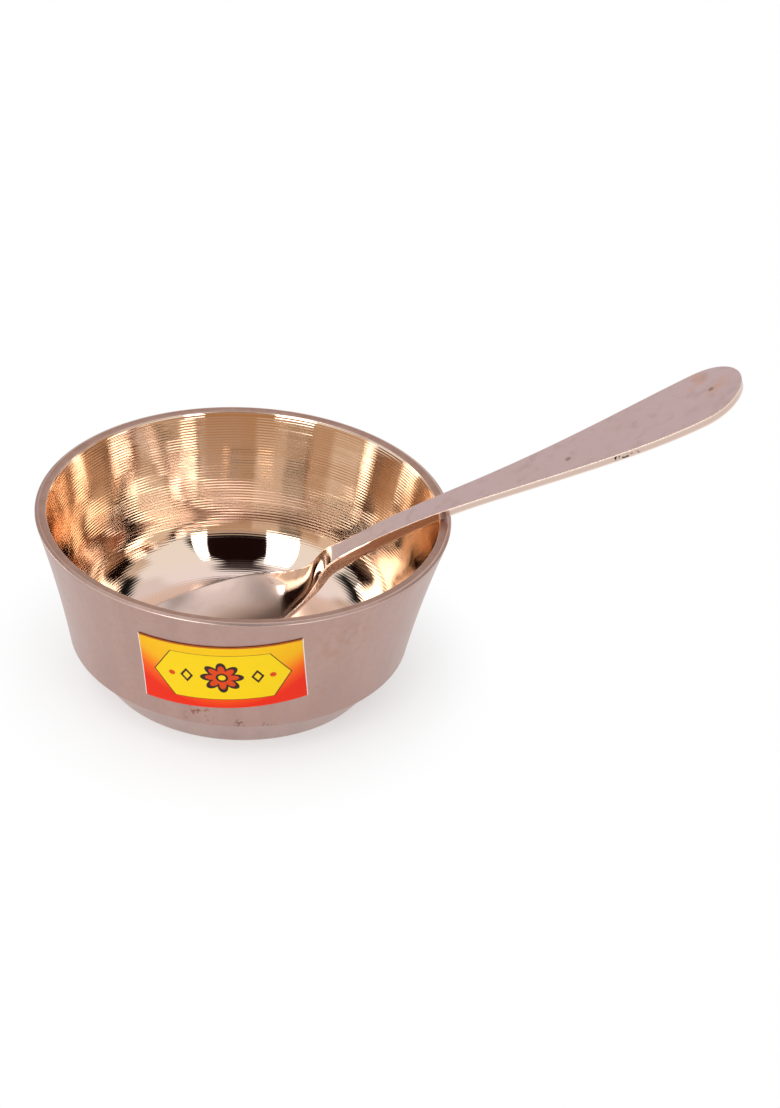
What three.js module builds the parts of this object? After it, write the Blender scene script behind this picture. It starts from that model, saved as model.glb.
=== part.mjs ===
// Bronze bowl with its spoon: a turned bowl with a flared wall on a narrower foot, a spoon that
// stands in it with its handle over the rim, and a paper label on the outside of the wall.
// Millimetres, +Z up. The origin is the centre of the foot's underside, and the handle points along +X.
import * as THREE from "three";

// Bowl
const rimRadius = 52; // outside
const bowlHeight = 46.3;
const rimThickness = 2.9;
const rimBevelWidth = 1.0; // the sloping band round the outside of the rim's flat top
const rimBevelDrop = 0.4;
const rimInnerDrop = 0.2; // the flat top's inner edge is this much lower
const wallThickness = 2.7; // just above the knee
const kneeRadius = 43; // outside, where the wall turns in towards the foot
const kneeHeight = 10.6;
const kneeFlare = 0.19; // the wall's outward slope just above the knee
const kneeOverhang = 1.5; // how far the wall stands out over the foot's cone
const kneeRound = 1.0; // height of the rounding under the overhang
const footRadius = 34.2;
const footBevel = 0.4;
const floorHeight = 5.5; // of the flat floor inside
const cornerRadius = 16; // between the floor and the wall inside

// Spoon, in its own frame: x from the bowl's tip to the handle's end, z up from the tip's level.
// Slopes are rises for each millimetre along it.
const spoonLength = 164.7;
const bladeLength = 44.5; // the spoon's bowl, from its tip to its shoulders
const bladeWidth = 32.9;
const bladeWidestAt = 24;
const bladeDepth = 7.2; // from the level of the tip to the deepest point inside
const bladeThickness = 1.5;
const tipSlope = -0.24; // the blade's edge dips from the tip,
const shoulderSlope = 0.247; // and climbs again to the shoulders
const shoulderWidth = 15.5;
const shoulderTaper = 0.68; // how fast each side draws in there
const stepAt = 47.3; // half-way up the step that joins the hollow to the handle
const stepRise = -0.8;
const stepSlope = 0.87;
const humpAt = 54; // the top of that step
const humpRise = 6.5;
const humpSlope = 0.28;
const humpThickness = 3.6;
const neckAt = 61; // the narrowest place
const neckWidth = 6.8;
const archAt = 88; // the handle is flattest where it crosses the rim of the bowl
const archRise = 13.1;
const archSlope = 0.11;
const archThickness = 2.15;
const waistAt = 113; // the thinnest place of the handle
const waistThickness = 2.1;
const paddleWidth = 22.2; // the broad end of the handle
const paddleWidestAt = 153.4;
const endRise = 26;
const endSlope = 0.28;
const endThickness = 2.25;
const dishSquareness = 2.2; // 2 dishes the hollow as a parabola, and more makes its floor flatter
const backInset = 0.4; // the spoon's back is this much narrower than its face on each side
const tipReach = 27; // from the bowl's axis to the spoon's tip
const restGap = 0.25; // between the spoon and what it rests on

// Label
const labelWidth = 40.5;
const labelHeight = 21.6;
const labelThickness = 0.2;
const labelGap = 0.1; // between the paper and the wall
const labelMiddle = 27.5; // height of its centre
const labelBearing = -97.2; // degrees from +X
const labelTilt = 5; // degrees, its right-hand end higher

// Facets
const turnSegments = 88;
const wallSteps = 9;
const kneeSteps = 5;
const cornerSteps = 9;
const bladeStations = 22;
const neckStations = 14;
const handleStations = 30;
const spoonColumns = 12;
const labelColumns = 20;
const labelRows = 4;
const seatStep = 0.5; // along the spoon's underside, where its seat is measured
const halvings = 40; // of a range that is searched for one value
const sameCorner = 1e-4; // corners closer than this are one

const bronze = new THREE.MeshStandardMaterial({ color: 0xb9a099, roughness: 0.32, metalness: 1 });
const spoonBronze = new THREE.MeshStandardMaterial({ color: 0xc0a59c, roughness: 0.25, metalness: 1 });
const paper = new THREE.MeshStandardMaterial({ color: 0xf0a800, roughness: 0.45, metalness: 0 });

// The outside of the wall is a parabola from the knee to the rim, and the inside follows it.
const wallRise = bowlHeight - kneeHeight;
const wallCurve = (rimRadius - kneeRadius - kneeFlare * wallRise) / wallRise ** 2;

function wallRadius(height) {
  const above = height - kneeHeight;
  return kneeRadius + kneeFlare * above + wallCurve * above ** 2;
}

function wallSlope(height) {
  return kneeFlare + 2 * wallCurve * (height - kneeHeight);
}

function innerRadius(height) {
  const share = (height - kneeHeight) / wallRise;
  return wallRadius(height) - THREE.MathUtils.lerp(wallThickness, rimThickness, share);
}

function bowlProfile() {
  const profile = [];
  const add = (radius, height) => profile.push(new THREE.Vector2(radius, height));
  add(0, 0);
  add(footRadius - footBevel, 0);
  add(footRadius + footBevel, footBevel);

  const coneTop = new THREE.Vector2(kneeRadius - kneeOverhang, kneeHeight - kneeRound);
  const knee = new THREE.Vector2(wallRadius(kneeHeight + kneeRound / 2), kneeHeight + kneeRound / 2);
  const kneeCorner = new THREE.Vector2(kneeRadius, coneTop.y + kneeRound / 4);
  const round = new THREE.QuadraticBezierCurve(coneTop, kneeCorner, knee);
  profile.push(...round.getPoints(kneeSteps));

  const bevelFoot = bowlHeight - rimBevelDrop;
  for (let i = 1; i <= wallSteps; i++) {
    const height = THREE.MathUtils.lerp(knee.y, bevelFoot, i / wallSteps);
    add(wallRadius(height), height);
  }
  add(rimRadius - rimBevelWidth, bowlHeight);

  // The corner inside is an arc that touches both the wall and the floor.
  const lean = Math.atan(wallSlope(floorHeight + cornerRadius));
  const arcTop = floorHeight + cornerRadius * (1 - Math.sin(lean));
  const arcMiddle = innerRadius(arcTop) - cornerRadius * Math.cos(lean);
  for (let i = 0; i <= wallSteps; i++) {
    const height = THREE.MathUtils.lerp(bowlHeight - rimInnerDrop, arcTop, i / wallSteps);
    add(innerRadius(height), height);
  }
  for (let i = 1; i <= cornerSteps; i++) {
    const turn = THREE.MathUtils.lerp(lean, Math.PI / 2, i / cornerSteps);
    add(arcMiddle + cornerRadius * Math.cos(turn), floorHeight + cornerRadius * (1 - Math.sin(turn)));
  }
  add(0, floorHeight);
  return profile;
}

function makeBowl() {
  const geometry = new THREE.LatheGeometry(bowlProfile(), turnSegments);
  geometry.rotateX(Math.PI / 2);
  const bowl = new THREE.Mesh(geometry, bronze);
  bowl.name = "bowl";
  return bowl;
}

// A smooth line along the spoon. Each knot gives the line's value and slope at a distance from the
// tip, and how far it keeps near that slope before and after, as a share of the stretch there.
function lineThrough(knots) {
  const line = new THREE.CurvePath();
  for (let i = 0; i + 1 < knots.length; i++) {
    const from = knots[i];
    const to = knots[i + 1];
    const leaving = from.after * (to.at - from.at);
    const arriving = to.before * (to.at - from.at);
    line.add(
      new THREE.CubicBezierCurve(
        new THREE.Vector2(from.at, from.value),
        new THREE.Vector2(from.at + leaving, from.value + leaving * from.slope),
        new THREE.Vector2(to.at - arriving, to.value - arriving * to.slope),
        new THREE.Vector2(to.at, to.value),
      ),
    );
  }
  return line;
}

// The line's value at x, which grows steadily along it.
function valueAt(line, x) {
  let low = 0;
  let high = 1;
  for (let i = 0; i < halvings; i++) {
    const middle = (low + high) / 2;
    if (line.getPoint(middle).x < x) low = middle;
    else high = middle;
  }
  return line.getPoint((low + high) / 2).y;
}

const halfBlade = bladeWidth / 2;
const halfShoulder = shoulderWidth / 2;
const halfNeck = neckWidth / 2;
const halfPaddle = paddleWidth / 2;
const clockwise = true;

// Half the spoon's width, as seen from above. Both ends are round.
const outline = lineThrough([
  { at: bladeWidestAt, value: halfBlade, slope: 0, after: 0.375 },
  { at: bladeLength, value: halfShoulder, slope: -shoulderTaper, before: 0.25, after: 0.3 },
  { at: neckAt, value: halfNeck, slope: 0, before: 0.35, after: 0.5 },
  { at: paddleWidestAt, value: halfPaddle, slope: 0, before: 0.25 },
]);
outline.curves.unshift(
  new THREE.EllipseCurve(bladeWidestAt, 0, bladeWidestAt, halfBlade, Math.PI, Math.PI / 2, clockwise),
);
const paddleEnd = spoonLength - paddleWidestAt;
outline.add(new THREE.EllipseCurve(paddleWidestAt, 0, paddleEnd, halfPaddle, Math.PI / 2, 0, clockwise));

// Height of the edge round the blade and of the handle's face.
const face = lineThrough([
  { at: 0, value: 0, slope: tipSlope, after: 0.32 },
  { at: bladeLength, value: 0, slope: shoulderSlope, before: 0.31, after: 0.39 },
  { at: humpAt, value: humpRise, slope: humpSlope, before: 0.33, after: 0.3 },
  { at: archAt, value: archRise, slope: archSlope, before: 0.37, after: 0.2 },
  { at: spoonLength, value: endRise, slope: endSlope, before: 0.35 },
]);

// Height of the deepest line inside the blade, which climbs the step to the hump.
const keel = lineThrough([
  { at: bladeWidestAt, value: -bladeDepth, slope: 0, after: 0.42 },
  { at: stepAt, value: stepRise, slope: stepSlope, before: 0.24, after: 0.3 },
  { at: humpAt, value: humpRise, slope: humpSlope, before: 0.4 },
]);
keel.curves.unshift(
  new THREE.EllipseCurve(bladeWidestAt, 0, bladeWidestAt, bladeDepth, Math.PI, 1.5 * Math.PI, !clockwise),
);

const thickness = new THREE.SplineCurve([
  new THREE.Vector2(0, bladeThickness),
  new THREE.Vector2(bladeWidestAt, bladeThickness),
  new THREE.Vector2(bladeLength, bladeThickness),
  new THREE.Vector2(humpAt, humpThickness),
  new THREE.Vector2(archAt, archThickness),
  new THREE.Vector2(waistAt, waistThickness),
  new THREE.Vector2(spoonLength, endThickness),
]);

// Distances from the tip, closer together at the round ends and through the neck.
function spoonStations() {
  const stations = [];
  for (let i = 0; i < bladeStations; i++) {
    stations.push(bladeLength * (1 - Math.cos((Math.PI / 2) * (i / bladeStations))));
  }
  for (let i = 0; i < neckStations; i++) {
    stations.push(THREE.MathUtils.lerp(bladeLength, neckAt, i / neckStations));
  }
  for (let i = 0; i <= handleStations; i++) {
    const share = Math.sin((Math.PI / 2) * (i / handleStations));
    stations.push(THREE.MathUtils.lerp(neckAt, spoonLength, share));
  }
  return stations;
}

// One slice of the spoon: along the face from one side to the other, and back along its underside.
function spoonSlice(x) {
  const atEnd = x <= 0 || x >= spoonLength;
  const halfWidth = atEnd ? 0 : valueAt(outline, x);
  const edge = valueAt(face, x);
  const dish = x < humpAt ? Math.max(0, edge - valueAt(keel, x)) : 0;
  const depth = valueAt(thickness, x);
  const back = halfWidth / (halfWidth + backInset);
  const slice = [];
  for (const side of ["face", "back"]) {
    for (let i = 0; i <= spoonColumns; i++) {
      const across = Math.sin(Math.PI * (i / spoonColumns - 0.5)) * (side === "face" ? 1 : -1);
      const top = edge - dish * (1 - Math.abs(across) ** dishSquareness);
      if (side === "face") slice.push(new THREE.Vector3(x, halfWidth * across, top));
      else slice.push(new THREE.Vector3(x, halfWidth * across * back, top - depth));
    }
  }
  return slice;
}

function makeSpoonGeometry() {
  const slices = spoonStations().map(spoonSlice);
  const ring = slices[0].length;
  const corners = [];
  const addTriangle = (a, b, c) => {
    const shortest = Math.min(a.distanceTo(b), b.distanceTo(c), c.distanceTo(a));
    if (shortest < sameCorner) return;
    corners.push(a, b, c);
  };
  for (let i = 0; i + 1 < slices.length; i++) {
    for (let j = 0; j < ring; j++) {
      const next = (j + 1) % ring;
      addTriangle(slices[i][j], slices[i + 1][j], slices[i + 1][next]);
      addTriangle(slices[i][j], slices[i + 1][next], slices[i][next]);
    }
  }
  const geometry = new THREE.BufferGeometry().setFromPoints(corners);
  geometry.computeVertexNormals();
  return geometry;
}

// Height of the underside along the middle of the spoon.
function undersideAt(x) {
  return valueAt(x < humpAt ? keel : face, x) - valueAt(thickness, x);
}

// Turned by lean, with its lowest point on the floor and its tip at tipReach: where its frame lies,
// and how far its underside then is above the rim's inner edge.
function seatAt(lean, underside) {
  const sine = Math.sin(lean);
  const cosine = Math.cos(lean);
  const turned = underside.map(([x, z]) => [x * cosine - z * sine, x * sine + z * cosine]);
  const lowest = Math.min(...turned.map(([, z]) => z));
  const lift = floorHeight + restGap - lowest;
  const rimInner = rimRadius - rimThickness;
  const next = turned.findIndex(([x]) => x - tipReach > rimInner);
  const [x0, z0] = turned[next - 1];
  const [x1, z1] = turned[next];
  const overRim = THREE.MathUtils.mapLinear(rimInner + tipReach, x0, x1, z0, z1) + lift;
  return { lift, clearance: overRim - bowlHeight + rimInnerDrop };
}

function makeSpoon() {
  const spoon = new THREE.Mesh(makeSpoonGeometry(), spoonBronze);
  spoon.name = "spoon";
  const underside = [];
  for (let x = 0; x < spoonLength; x += seatStep) underside.push([x, undersideAt(x)]);
  let tooLow = 0;
  let lean = Math.PI / 3;
  for (let i = 0; i < halvings; i++) {
    const middle = (tooLow + lean) / 2;
    if (seatAt(middle, underside).clearance < restGap) tooLow = middle;
    else lean = middle;
  }
  spoon.rotation.y = -lean;
  spoon.position.set(-tipReach, 0, seatAt(lean, underside).lift);
  return spoon;
}

// A flat strip of paper laid on the flaring wall. It is unrolled about the point where the wall's
// slope at the label's height meets the axis, so its long edges curve up at both ends.
function labelPoint(across, up, lift) {
  const slope = Math.atan(wallSlope(labelMiddle));
  const toApex = wallRadius(labelMiddle) / Math.sin(slope);
  const tilt = THREE.MathUtils.degToRad(labelTilt);
  const alongWall = across * Math.cos(tilt) - up * Math.sin(tilt);
  const upWall = toApex + across * Math.sin(tilt) + up * Math.cos(tilt);
  const height = labelMiddle + (Math.hypot(alongWall, upWall) - toApex) * Math.cos(slope);
  const bearing = THREE.MathUtils.degToRad(labelBearing) + Math.atan2(alongWall, upWall) / Math.sin(slope);
  const radius = wallRadius(height) + lift / Math.cos(slope);
  return new THREE.Vector3(radius * Math.cos(bearing), radius * Math.sin(bearing), height);
}

function makeLabel() {
  const geometry = new THREE.BoxGeometry(labelWidth, labelHeight, labelThickness, labelColumns, labelRows);
  const position = geometry.getAttribute("position");
  const corner = new THREE.Vector3();
  for (let i = 0; i < position.count; i++) {
    corner.fromBufferAttribute(position, i);
    corner.copy(labelPoint(corner.x, corner.y, labelGap + labelThickness / 2 + corner.z));
    position.setXYZ(i, corner.x, corner.y, corner.z);
  }
  geometry.computeVertexNormals();
  const label = new THREE.Mesh(geometry, paper);
  label.name = "label";
  return label;
}

const bowlWithSpoon = new THREE.Group();
bowlWithSpoon.add(makeBowl(), makeSpoon(), makeLabel());

export default bowlWithSpoon;
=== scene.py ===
import math

import bpy
from mathutils import Matrix, Quaternion, Vector


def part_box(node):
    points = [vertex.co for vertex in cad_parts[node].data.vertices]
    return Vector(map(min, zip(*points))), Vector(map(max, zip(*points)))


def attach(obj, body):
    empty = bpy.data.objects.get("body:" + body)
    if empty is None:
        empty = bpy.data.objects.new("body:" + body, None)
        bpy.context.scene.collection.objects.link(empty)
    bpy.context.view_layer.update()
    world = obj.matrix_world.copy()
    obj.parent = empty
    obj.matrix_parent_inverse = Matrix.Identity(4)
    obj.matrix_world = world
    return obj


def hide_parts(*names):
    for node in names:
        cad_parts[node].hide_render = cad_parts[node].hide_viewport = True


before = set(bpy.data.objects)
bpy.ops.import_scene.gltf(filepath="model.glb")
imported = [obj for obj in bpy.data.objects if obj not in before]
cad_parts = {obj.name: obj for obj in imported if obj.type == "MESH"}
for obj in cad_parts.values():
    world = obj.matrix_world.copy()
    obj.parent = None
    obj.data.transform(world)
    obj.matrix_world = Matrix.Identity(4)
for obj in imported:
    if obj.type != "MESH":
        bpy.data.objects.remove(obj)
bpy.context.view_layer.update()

# Studio
# The bowl stands on white paper that runs on as far as the camera sees. Two tall soft boxes stand
# behind the camera, with a dark gap between them, and a small one stands low on the left.
mm = 0.001
aim = Vector((37.92, 5.67, 30)) * mm
view_bearing = math.radians(6.064)  # from +Y towards +X
view_elevation = math.radians(32.32)
view_roll = math.radians(4.04)
view_distance = 0.7644
focal_length = 3000 / 1108  # of the frame's height
paper_radius = 3
paper_white = (0.9, 0.9, 0.9)
shadow_kept = (30 * mm, 70 * mm)  # the radii between which the paper turns as white as the room
room_light = 0.55  # on surfaces that aren't mirrors
lamp_distance = 1.5


def add_camera():
    """The camera looks at a point beside the bowl, a little rolled."""
    look = Vector((
        math.sin(view_bearing) * math.cos(view_elevation),
        math.cos(view_bearing) * math.cos(view_elevation),
        -math.sin(view_elevation),
    ))
    bpy.ops.object.camera_add(location=aim - view_distance * look)
    camera = bpy.context.object
    camera.rotation_mode = "QUATERNION"
    camera.rotation_quaternion = look.to_track_quat("-Z", "Y") @ Quaternion((0, 0, 1), view_roll)
    camera.data.lens = camera.data.sensor_width * focal_length
    camera.data.clip_end = 20
    bpy.context.scene.camera = camera


class Wire:
    """One value on its way through a material. Sums on wires add Math nodes."""

    def __init__(self, socket):
        self.socket = socket

    def node(self, kind, settings, values, output=0):
        """Adds a node to this wire's tree and gives the wire that leaves it."""
        made = self.socket.id_data.nodes.new("ShaderNode" + kind)
        for name, setting in settings.items():
            if name == "stops":
                while len(made.color_ramp.elements) < len(setting):
                    made.color_ramp.elements.new(1)
                for element, (place, colour) in zip(made.color_ramp.elements, setting):
                    element.position = place
                    element.color = (*colour, 1)
            else:
                setattr(made, name, setting)
        for name, value in values.items():
            plug(value, made.inputs[name])
        return Wire(made.outputs[output])

    def other(self, output):
        """The wire that leaves the same node by another socket."""
        return Wire(self.socket.node.outputs[output])

    def maths(self, operation, *others):
        """This value and others through one Math node."""
        return self.node("Math", {"operation": operation}, dict(enumerate((self, *others))))

    def __add__(self, other):
        return self.maths("ADD", other)

    def __sub__(self, other):
        return self.maths("SUBTRACT", other)

    def __mul__(self, other):
        return self.maths("MULTIPLY", other)

    def __rsub__(self, other):
        return (self * -1) + other

    __radd__ = __add__
    __rmul__ = __mul__

    def step(self, low, high):
        """0 below low, 1 above high, and smooth between."""
        settings = {"interpolation_type": "SMOOTHSTEP"}
        return self.node("MapRange", settings, {"Value": self, "From Min": low, "From Max": high})

    def axis(self, name):
        """One coordinate of a place."""
        return self.node("SeparateXYZ", {}, {0: self}, output=name)

    def scaled(self, x, y, z):
        """A place scaled along each axis, so that a pattern read from it is stretched."""
        return self.node("VectorMath", {"operation": "MULTIPLY"}, {0: self, 1: (x, y, z)})

    def distance(self, point):
        """How far a place is from a point."""
        return self.node("VectorMath", {"operation": "DISTANCE"}, {0: self, 1: point}, output="Value")

    def noise(self, scale, detail=2.0):
        """Cloudy values between 0 and 1, whose features are about 1 / scale across."""
        return self.node("TexNoise", {}, {"Vector": self, "Scale": scale, "Detail": detail})

    def blend(self, colour, other):
        """From colour where this is 0 to other where it is 1."""
        values = {"Factor": self, 6: colour, 7: other}
        return self.node("Mix", {"data_type": "RGBA"}, values, output=2)


def plug(value, socket):
    """Links a wire to a socket, or sets the socket to a plain value."""
    if isinstance(value, Wire):
        socket.id_data.links.new(value.socket, socket)
    elif isinstance(value, tuple) and socket.type == "RGBA":
        socket.default_value = (*value, 1)
    else:
        socket.default_value = value


def start_material(name):
    """A material with no nodes but its output, and the wire of its Object coordinates."""
    material = bpy.data.materials.new(name)
    material.use_nodes = True
    material.node_tree.nodes.clear()
    material.node_tree.nodes.new("ShaderNodeOutputMaterial")
    place = material.node_tree.nodes.new("ShaderNodeTexCoord")
    return material, Wire(place.outputs["Object"])


def end_material(material, shader):
    """Links the shader to the material's output."""
    plug(shader, material.node_tree.nodes["Material Output"].inputs["Surface"])
    return material


def add_floor():
    """White paper. It keeps the bowl's shadow close by, and further out is as white as the room."""
    bpy.ops.mesh.primitive_circle_add(
        vertices=96, radius=paper_radius, fill_type="NGON", location=(0, 0, 0)
    )
    floor = bpy.context.object
    floor.name = "paper_sweep"
    material, place = start_material("studio_paper")
    paper = place.node("BsdfDiffuse", {}, {"Color": paper_white})
    white = place.node("Emission", {}, {"Color": (1, 1, 1), "Strength": 1.0})
    camera = place.node("LightPath", {}, {}, output="Is Camera Ray")
    seen = camera + camera.other("Is Glossy Ray")
    faded = place.distance((0, 0, 0)).step(*shadow_kept) * 0.5 + 0.5
    shader = place.node("MixShader", {}, {0: faded * seen, 1: paper, 2: white})
    floor.data.materials.append(end_material(material, shader))


def add_room():
    """The camera sees the room as plain white. Metal also sees its walls, gaps and ceiling."""
    world = bpy.data.worlds.new("room")
    world.use_nodes = True
    world.node_tree.nodes.clear()
    way = Wire(world.node_tree.nodes.new("ShaderNodeTexCoord").outputs["Generated"])
    x = way.axis("X")
    y = x.other("Y")
    height = x.other("Z").maths("ARCSINE")
    ahead = x.maths("ARCTAN2", y)
    behind = (x * -1).maths("ARCTAN2", y * -1)
    soft = math.radians(3)
    parts = (  # each from left to right and low to high, in degrees, and its colour
        (ahead, -46, 15, -60, 52, (0.65, 0.53, 0.435)),
        (ahead, -50, -2, 6, 27, (0.66, 0.62, 0.66)),
        (ahead, 15, 72, -60, 60, (0.86, 0.82, 0.80)),
        (ahead, 72, 104, -60, 40, (0.70, 0.57, 0.47)),
        (behind, -90, 75, -60, 13, (0.54, 0.33, 0.19)),
        (behind, -30, 20, -60, 23, (0.48, 0.26, 0.13)),
        (behind, -40, 33, 24, 95, (0.01, 0.003, 0.003)),
        (ahead, -90, -50, 31, 44, (0.01, 0.01, 0.01)),
        (ahead, 50, 80, 31, 45, (0.01, 0.01, 0.01)),
        (ahead, -200, 200, 80, 95, (0.06, 0.05, 0.05)),
    )
    colour = (1, 1, 1)
    for turn, left, right, low, high, paint in parts:
        left, right, low, high = (math.radians(edge) for edge in (left, right, low, high))
        across = turn.step(left - soft, left + soft) * (1 - turn.step(right - soft, right + soft))
        upward = height.step(low - soft, low + soft) * (1 - height.step(high - soft, high + soft))
        colour = (across * upward).blend(colour, paint)
    camera = way.node("LightPath", {}, {}, output="Is Camera Ray")
    glossy = camera.other("Is Glossy Ray")
    colour = glossy.blend((1, 1, 1), colour)
    strength = camera + glossy + (1 - glossy) * (1 - camera) * room_light
    background = way.node("Background", {}, {"Color": colour, "Strength": strength})
    out = world.node_tree.nodes.new("ShaderNodeOutputWorld")
    plug(background, out.inputs["Surface"])
    bpy.context.scene.world = world


def add_soft_box(bearing, width, low, high, lean, brightness):
    """A soft box that faces the bowl. Its sizes are in parts of its distance, its lean in x and y."""
    bearing = math.radians(bearing)
    away = Vector((math.sin(bearing), math.cos(bearing), 0))
    up = Vector((*lean, 1)).normalized()
    back = (away - up * away.dot(up)).normalized()
    bpy.ops.object.light_add(type="AREA", location=lamp_distance * (back + up * (low + high) / 2))
    bpy.context.object.rotation_euler = Matrix((up.cross(back), up, back)).transposed().to_euler()
    lamp = bpy.context.object.data
    lamp.shape = "RECTANGLE"
    lamp.size = lamp_distance * width
    lamp.size_y = lamp_distance * (high - low)
    lamp.energy = brightness * math.pi * lamp.size * lamp.size_y


bpy.context.scene.view_settings.view_transform = "Standard"
bpy.context.scene.cycles.glossy_bounces = 12  # from wall to wall inside the polished bowl
bpy.ops.object.select_all(action="DESELECT")
add_camera()
add_floor()
add_room()
add_soft_box(bearing=-152.5, width=0.395, low=0, high=1.9, lean=(-0.038, 0.307), brightness=4)
add_soft_box(bearing=154.5, width=0.205, low=0.34, high=3, lean=(0.15, 0), brightness=4)
add_soft_box(bearing=-65, width=0.3, low=0.25, high=0.65, lean=(0, 0), brightness=3)

# Bowl
# One heavy casting of bell bronze, turned on a lathe. The wall is polished inside over the rings
# of the tool, the floor and the outside are left satin, and the rim is turned flat.
bowl_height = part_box("bowl")[1].z
rim_radius = 52 * mm
rim_thickness = 2.9 * mm
rim_bevel_width = 1.0 * mm
rim_bevel_drop = 0.4 * mm
rim_inner_drop = 0.2 * mm
wall_thickness = 2.7 * mm
knee_radius = 43 * mm
knee_height = 10.6 * mm
knee_flare = 0.19
knee_overhang = 1.5 * mm
knee_round = 1.0 * mm
foot_radius = 34.2 * mm
foot_bevel = 0.4 * mm
floor_height = 5.5 * mm
corner_radius = 16 * mm
wall_rise = bowl_height - knee_height
wall_curve = (rim_radius - knee_radius - knee_flare * wall_rise) / wall_rise**2
bowl_sides = 256
worn_width = 0.13 * mm
ring_pitch = 0.76 * mm
crease = math.radians(40)
floor_bronze = (0.82, 0.64, 0.58)
polished_bronze = (0.82, 0.655, 0.52)
foot_bronze = (0.51, 0.34, 0.30)
wall_bronze = (0.48, 0.318, 0.28)
rim_bronze = (0.52, 0.37, 0.34)
rubbed_bronze = (0.43, 0.285, 0.255)
mottled_bronze = (0.46, 0.27, 0.21)
worn_bronze = (0.66, 0.51, 0.44)
orange_stain = (0.42, 0.22, 0.13)
red_specks = (0.28, 0.08, 0.05)
dark_grime = (0.1, 0.06, 0.05)


def mix(start, end, share):
    """From start at share 0 to end at share 1."""
    return start + (end - start) * share


def wall_radius(height):
    """The outside of the flared wall."""
    above = height - knee_height
    return knee_radius + knee_flare * above + wall_curve * above**2


def inner_radius(height):
    """The inside of the wall, which is a little thicker at the rim."""
    share = (height - knee_height) / wall_rise
    return wall_radius(height) - mix(wall_thickness, rim_thickness, share)


def bowl_profile():
    """Radius and height round the section, from the foot's edge up, over the rim and down inside."""
    wall_steps, knee_steps, corner_steps = 20, 8, 20
    profile = [(foot_radius - foot_bevel, 0), (foot_radius + foot_bevel, foot_bevel)]
    cone_top = Vector((knee_radius - knee_overhang, knee_height - knee_round))
    corner = Vector((knee_radius, cone_top.y + knee_round / 4))
    knee = Vector((wall_radius(knee_height + knee_round / 2), knee_height + knee_round / 2))
    for i in range(knee_steps + 1):
        share = i / knee_steps
        point = cone_top * (1 - share) ** 2 + corner * 2 * share * (1 - share) + knee * share**2
        profile.append((point.x, point.y))
    for i in range(1, wall_steps + 1):
        height = mix(knee.y, bowl_height - rim_bevel_drop, i / wall_steps)
        profile.append((wall_radius(height), height))
    profile.append((rim_radius - rim_bevel_width, bowl_height))
    lean = math.atan(knee_flare + 2 * wall_curve * (floor_height + corner_radius - knee_height))
    arc_top = floor_height + corner_radius * (1 - math.sin(lean))
    arc_middle = inner_radius(arc_top) - corner_radius * math.cos(lean)
    for i in range(wall_steps + 1):
        height = mix(bowl_height - rim_inner_drop, arc_top, i / wall_steps)
        profile.append((inner_radius(height), height))
    for i in range(1, corner_steps + 1):
        turn = mix(lean, math.pi / 2, i / corner_steps)
        height = floor_height + corner_radius * (1 - math.sin(turn))
        profile.append((arc_middle + corner_radius * math.cos(turn), height))
    profile.append((arc_middle / 2, floor_height))
    return profile


def turn_bowl():
    """The foot's disc is drawn up ring by ring along the section, and closed at the floor's centre."""
    profile = bowl_profile()
    radius, height = profile[0]
    bpy.ops.mesh.primitive_circle_add(
        vertices=bowl_sides, radius=radius, fill_type="TRIFAN", location=(0, 0, height)
    )
    bowl = bpy.context.object
    bowl.name = "turned_bowl"
    bpy.ops.object.mode_set(mode="EDIT")
    bpy.ops.mesh.select_all(action="SELECT")
    bpy.ops.mesh.flip_normals()
    bpy.ops.mesh.region_to_loop()
    for new_radius, new_height in profile[1:]:
        bpy.ops.mesh.extrude_region_move(TRANSFORM_OT_translate={"value": (0, 0, new_height - height)})
        ratio = new_radius / radius
        bpy.ops.transform.resize(value=(ratio, ratio, 1), center_override=(0, 0, new_height))
        radius, height = new_radius, new_height
    bpy.ops.mesh.extrude_region_move()
    bpy.ops.mesh.merge(type="CENTER")
    bpy.ops.mesh.select_all(action="SELECT")
    bpy.ops.mesh.normals_make_consistent(inside=False)
    bpy.ops.object.mode_set(mode="OBJECT")
    return bowl


def wear_edges(bowl):
    """Rounds the edges of the foot and rim. The rounded faces take the bowl's second material."""
    bpy.ops.object.select_all(action="DESELECT")
    bowl.select_set(True)
    bpy.context.view_layer.objects.active = bowl
    bevel = bowl.modifiers.new("edges", "BEVEL")
    bevel.width = worn_width
    bevel.segments = 3
    bevel.limit_method = "ANGLE"
    bevel.angle_limit = math.radians(12)
    bevel.material = 1
    bpy.ops.object.modifier_apply(modifier="edges")
    bpy.ops.object.shade_smooth_by_angle(angle=crease)


def bronze(name, finish, grain=0.0):
    """Metal whose finish gives its colour, roughness and relief in millimetres. Grain runs round Z."""
    material, place = start_material(name)
    colour, roughness, relief = finish(place)
    surface = place.node("Bump", {}, {"Height": relief, "Distance": mm})
    values = {"Metallic": 1.0, "Base Color": colour, "Roughness": roughness, "Normal": surface}
    values |= {"Anisotropic": grain, "Anisotropic Rotation": 0.25}
    return end_material(material, place.node("BsdfPrincipled", {}, values))


def spots(place, *points):
    """1 at points given in millimetres, and 0 from the reach of each outwards."""
    found = 0
    for x, y, z, reach in points:
        away = place.distance((x * mm, y * mm, z * mm))
        found = found + (1 - away.step(reach * mm / 3, reach * mm))
    return found


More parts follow.
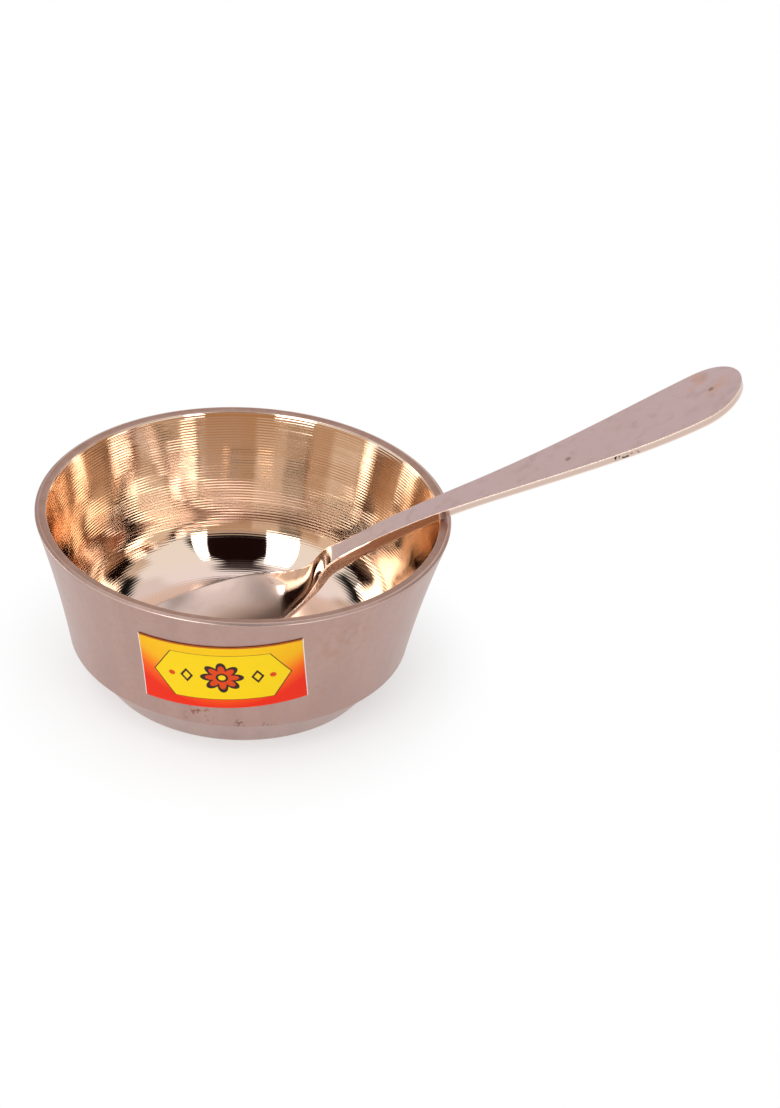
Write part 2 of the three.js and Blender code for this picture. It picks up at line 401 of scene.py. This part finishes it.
def turned_inside(place):
    """Rings of the lathe tool, of uneven depth, and the haze that the polishing mop leaves on them."""
    height = place.axis("Z")
    radius = place.scaled(1, 1, 0).distance((0, 0, 0))
    along = radius + height * 0.8
    ring = (along * (2 * math.pi / ring_pitch)).maths("SINE")
    lift = along.node("CombineXYZ", {}, {"Z": along * 1400})
    around = place.scaled(20, 20, 0)
    streaks = around.node("VectorMath", {"operation": "ADD"}, {0: around, 1: lift}).noise(1, 1)
    depth = lift.noise(0.3)
    polish = radius.step(26 * mm, 32 * mm)
    colour = radius.step(30 * mm, 40 * mm).blend(floor_bronze, polished_bronze)
    roughness = (1 - polish) * 0.24 + streaks * 0.03 + 0.04
    deeper = height.step(15 * mm, 26 * mm) * 0.5 + 0.5
    relief = ring * depth * deeper * 0.017
    return colour, roughness, relief


def satin_outside(place):
    """Rubbed down on the lathe, with a few stains. The rim's land and the foot are paler."""
    height = place.axis("Z")
    lines = place.scaled(40, 40, 2500).noise(1)
    rubbed = place.scaled(160, 160, 12).noise(1, 3)
    clouds = place.noise(90, 5)
    wall = height.step(10 * mm, 11 * mm)
    land = height.step(45.8 * mm, 45.95 * mm)
    colour = wall.blend(foot_bronze, wall_bronze)
    colour = land.blend(colour, rim_bronze)
    colour = rubbed.step(0.3, 0.8).blend(colour, rubbed_bronze)
    colour = (place.noise(700, 3).step(0.42, 0.66) * 0.4).blend(colour, mottled_bronze)
    orange = spots(place, (23.4, -43.2, 36.5, 11)) * place.noise(400, 4).step(0.4, 0.7)
    colour = (orange * 0.45).blend(colour, orange_stain)
    specks = spots(place, (-11, -42.2, 13.4, 5)) * place.noise(700).step(0.58, 0.66)
    colour = (specks * 0.7).blend(colour, red_specks)
    grime = spots(place, (-0.9, -43.2, 11.8, 2), (5.7, -42.7, 11.2, 1.5))
    grime = grime * place.noise(900).step(0.5, 0.6) + place.noise(320, 1).step(0.78, 0.80)
    colour = (grime * 0.6).blend(colour, dark_grime)
    return colour, clouds * 0.08 + 0.3, lines * 0.002


def worn(place):
    """Handled edges stay bright."""
    return worn_bronze, 0.28, place.noise(900) * 0.001


bowl = turn_bowl()
bowl.data.materials.append(bronze("bowl_satin", satin_outside))
bowl.data.materials.append(bronze("bowl_worn", worn))
bowl.data.materials.append(bronze("bowl_turned", turned_inside, grain=0.95))
for face in bowl.data.polygons:
    outward = Vector((face.center.x, face.center.y, 0)).dot(face.normal)
    in_hollow = floor_height - 0.1 * mm < face.center.z < bowl_height - rim_inner_drop
    if in_hollow and outward < 0.01 * mm:
        face.material_index = 2
wear_edges(bowl)
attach(bowl, "bowl")
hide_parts("bowl")

# Spoon
# A second casting of the same bronze, loose in the bowl. Its blade and handle are rubbed satin, its
# neck is polished, its sides are filed along their length, and its long edges are rounded.
spoon_lean = Vector((-0.5, 0, 0.87))  # square to the handle's face
sides_start = 8 * mm  # along X, as are the next three
satin_handle = (29 * mm, 50 * mm)
joined_edges = (24 * mm, 120.3 * mm)
rounded_edges = (30 * mm, 119.7 * mm)
edge_width = 0.22 * mm
blade_middle = (-14 * mm, 0, 12 * mm)
blade_reach = (24 * mm, 27 * mm)
file_pitch = 0.9 * mm
neck_bronze = (0.80, 0.60, 0.49)
handle_bronze = (0.76, 0.615, 0.615)
blade_bronze = (0.67, 0.51, 0.45)
clouded_bronze = (0.70, 0.55, 0.53)
tarnish = (0.80, 0.47, 0.31)
dull_specks = (0.54, 0.40, 0.37)
dent_shade = (0.2, 0.13, 0.11)
side_bronze = (0.66, 0.50, 0.43)
# painted shade: black for the inside of the casting pits
pit_shade_black = (0.03, 0.02, 0.015)
edge_bronze = (0.82, 0.66, 0.56)


def copy_solid(node, name):
    """A welded copy of a solid, with its triangles joined to quads."""
    bpy.ops.object.select_all(action="DESELECT")
    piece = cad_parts[node].copy()
    piece.data = piece.data.copy()
    piece.name = name
    bpy.context.collection.objects.link(piece)
    piece.parent = None
    piece.matrix_world = Matrix.Identity(4)
    piece.data.materials.clear()
    piece.select_set(True)
    bpy.context.view_layer.objects.active = piece
    bpy.ops.object.mode_set(mode="EDIT")
    bpy.ops.mesh.select_all(action="SELECT")
    bpy.ops.mesh.remove_doubles(threshold=0.01 * mm)
    bpy.ops.mesh.tris_convert_to_quads(
        face_threshold=math.radians(60), shape_threshold=math.radians(180)
    )
    bpy.ops.object.mode_set(mode="OBJECT")
    return piece


def rubbed_spoon(place):
    """The blade and the handle's face are satin, with stains and dents. The neck is polished."""
    handle = place.axis("X").step(*satin_handle)
    blade = 1 - place.distance(blade_middle).step(*blade_reach)
    clouds = place.noise(110, 4)
    grain = place.scaled(150, 1500, 150).noise(1)
    colour = handle.blend(neck_bronze, handle_bronze)
    colour = blade.blend(colour, blade_bronze)
    colour = (clouds.step(0.4, 0.8) * 0.5).blend(colour, clouded_bronze)
    orange = spots(place, (113.5, 6, 82.5, 9)) * clouds.step(0.42, 0.6)
    colour = orange.blend(colour, tarnish)
    specks = place.noise(330, 6).step(0.48, 0.72)
    colour = (specks * 0.35).blend(colour, dull_specks)
    dents = spots(place, (79.7, -2.1, 63.6, 1.1), (113.8, 0.7, 82.6, 1.1))
    colour = (dents * 0.6).blend(colour, dent_shade)
    roughness = blade * 0.26 + handle * 0.26 + clouds * 0.05 + 0.05
    return colour, roughness, grain * 0.0015 - dents * 0.03


def filed_side(place):
    """File marks along the sides, cuts across the neck's, and small pits left by the casting, painted
    black as their shade.
    """
    x = place.axis("X")
    marks = place.scaled(120, 120, 1800).noise(1, 3)
    cuts = (x * (2 * math.pi / file_pitch) + marks * 9).maths("SINE")
    cuts = cuts * (1 - x.step(22 * mm, 29 * mm))
    row = spots(place, (90.2, -9.1, 68.3, 1.8), (92.6, -9.2, 68.9, 1.6), (95, -9.5, 69.6, 1.6))
    pits_and_shade = row.maths("MINIMUM", 1) * place.noise(1100, 1).step(0.5, 0.56)
    # the pits are sunk as relief; their black colour is painted shade
    colour = pits_and_shade.blend(side_bronze, pit_shade_black)
    return colour, marks * 0.1 + pits_and_shade * 0.4 + 0.14, marks * 0.004 + cuts * 0.02 - pits_and_shade * 0.15


def bright_edge(place):
    """The long edges are rubbed round until they shine."""
    return edge_bronze, 0.15, place.noise(900) * 0.0005


def pick_edges(spoon, least, most, beside=False):
    """Selects the sharp edges between two places along X, or the edges of the strips beside them."""
    bpy.ops.object.mode_set(mode="EDIT")
    bpy.ops.mesh.select_mode(type="EDGE")
    bpy.ops.mesh.select_all(action="DESELECT")
    bpy.ops.mesh.edges_select_sharp(sharpness=math.radians(50))
    bpy.ops.object.mode_set(mode="OBJECT")
    corners = spoon.data.vertices
    sharp = set()
    for edge in spoon.data.edges:
        along = [corners[i].co.x for i in edge.vertices]
        if edge.select and least < min(along) and max(along) < most:
            sharp.add(edge.key)
        edge.select = edge.key in sharp and not beside
    inner = set()
    for face in spoon.data.polygons:
        near = sharp.intersection(face.edge_keys)
        if beside and face.material_index == 0 and len(near) == 1:
            inner.update(key for key in face.edge_keys if not set(key) & set(*near))
    for edge in spoon.data.edges:
        edge.select = edge.select or edge.key in inner
    bpy.ops.object.mode_set(mode="EDIT")


def round_handle_edges(spoon):
    """Joins the narrow strips beside the handle's edges to their neighbours, and rounds the edges."""
    bpy.ops.object.select_all(action="DESELECT")
    spoon.select_set(True)
    bpy.context.view_layer.objects.active = spoon
    pick_edges(spoon, *joined_edges, beside=True)
    bpy.ops.mesh.dissolve_edges(use_verts=True)
    bpy.ops.object.mode_set(mode="OBJECT")
    pick_edges(spoon, *rounded_edges)
    bpy.ops.mesh.bevel(offset=edge_width, segments=3, affect="EDGES", clamp_overlap=True, material=1)
    bpy.ops.object.mode_set(mode="OBJECT")


spoon = copy_solid("spoon", "cast_spoon")
for name, finish in (("rubbed", rubbed_spoon), ("edge", bright_edge), ("filed", filed_side)):
    spoon.data.materials.append(bronze("spoon_" + name, finish))
for face in spoon.data.polygons:
    face.material_index = 0
    if face.center.x > sides_start and abs(face.normal.dot(spoon_lean)) < 0.6:
        face.material_index = 2
round_handle_edges(spoon)
spoon.modifiers.new("smooth", "SUBSURF")
spoon.modifiers["smooth"].levels = 1
bpy.ops.object.modifier_apply(modifier="smooth")
bpy.ops.object.shade_smooth()
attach(spoon, "spoon")
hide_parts("spoon")

# Label
# A small coated paper label, printed yellow to red-orange with an ornament, and stuck on the
# outside of the wall by hand, a little out of level.
label_width = 40.5 * mm
label_height = 21.6 * mm
label_thickness = 0.15 * mm
label_gap = 0.12 * mm
label_middle = 27.5 * mm
label_bearing = math.radians(-97.2)
label_tilt = math.radians(5)
ink = (0.035, 0.012, 0.006)
yellow = (0.93, 0.64, 0.0)
red = (0.72, 0.06, 0.002)
border = (0.5, 0.12, 0.01)
bare_paper = (0.85, 0.82, 0.78)
print_blur = 0.06  # in millimetres, as the motifs are


def label_point(across, up):
    """A point of the flat label, wrapped on the flaring wall."""
    slope = math.atan(knee_flare + 2 * wall_curve * (label_middle - knee_height))
    to_apex = wall_radius(label_middle) / math.sin(slope)
    along = across * math.cos(label_tilt) - up * math.sin(label_tilt)
    upward = to_apex + across * math.sin(label_tilt) + up * math.cos(label_tilt)
    height = label_middle + (math.hypot(along, upward) - to_apex) * math.cos(slope)
    bearing = label_bearing + math.atan2(along, upward) / math.sin(slope)
    radius = wall_radius(height) + label_gap / math.cos(slope)
    return Vector((radius * math.cos(bearing), radius * math.sin(bearing), height))


def wrap_label():
    """A fine grid, bent round the wall and given its thickness."""
    bpy.ops.object.select_all(action="DESELECT")
    bpy.ops.mesh.primitive_grid_add(
        x_subdivisions=64, y_subdivisions=32, size=1, calc_uvs=True, location=(0, 0, 0)
    )
    label = bpy.context.object
    label.name = "printed_label"
    for corner in label.data.vertices:
        corner.co = label_point(corner.co.x * label_width, corner.co.y * label_height)
    solidify = label.modifiers.new("paper", "SOLIDIFY")
    solidify.thickness = label_thickness
    solidify.offset = 1
    bpy.ops.object.modifier_apply(modifier="paper")
    bpy.ops.object.shade_smooth_by_angle(angle=crease)
    return label


def print_label():
    """A ground from yellow to red-orange, and on it a cartouche, a rosette, lozenges and dots."""
    material, place = start_material("label_print")
    share = place.other("UV").axis("X")
    x = (share - 0.5) * (label_width / mm)
    y = (share.other("Y") - 0.5) * (label_height / mm)
    side = x.maths("ABSOLUTE")
    rise = y.maths("ABSOLUTE")
    heat = side * side * 0.0009 - y * 0.046 + 0.5
    stops = [
        (0.0, (0.92, 0.58, 0.0)),
        (0.5, (0.92, 0.46, 0.0)),
        (0.78, (0.93, 0.12, 0.0)),
        (1.0, (0.84, 0.02, 0.0)),
    ]
    colour = heat.node("ValToRGB", {"stops": stops}, {0: heat})
    reach = (x * x + y * y).maths("SQRT")
    petals = (y.maths("ARCTAN2", x) * 4).maths("COSINE").maths("ABSOLUTE")
    cartouche = (rise * 0.6 + side).maths("MAXIMUM", rise * 2.15)
    rosette = reach - petals * 1.9
    lozenge = (side - 8.6).maths("ABSOLUTE") * 1.5 + rise
    dot = ((side - 12.3) * (side - 12.3) + y * y).maths("SQRT")
    motifs = (
        (cartouche, 16.9, ink),
        (cartouche, 16.6, yellow),
        (rosette, 3.4, ink),
        (rosette, 2.2, red),
        (reach, 1.5, ink),
        (reach, 0.9, yellow),
        (lozenge, 2.4, ink),
        (lozenge, 1.4, yellow),
        (dot, 0.8, red),
    )
    for shape, limit, paint in motifs:
        inside = 1 - shape.step(limit - print_blur, limit + print_blur)
        colour = inside.blend(colour, paint)
    colour = y.step(10.3, 10.5).blend(colour, border)
    colour = side.step(20.0, 20.1).blend(colour, bare_paper)
    values = {"Base Color": colour, "Roughness": 0.5, "Specular IOR Level": 0.2}
    return end_material(material, place.node("BsdfPrincipled", {}, values))


label = wrap_label()
label.data.materials.append(print_label())
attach(label, "bowl")
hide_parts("label")
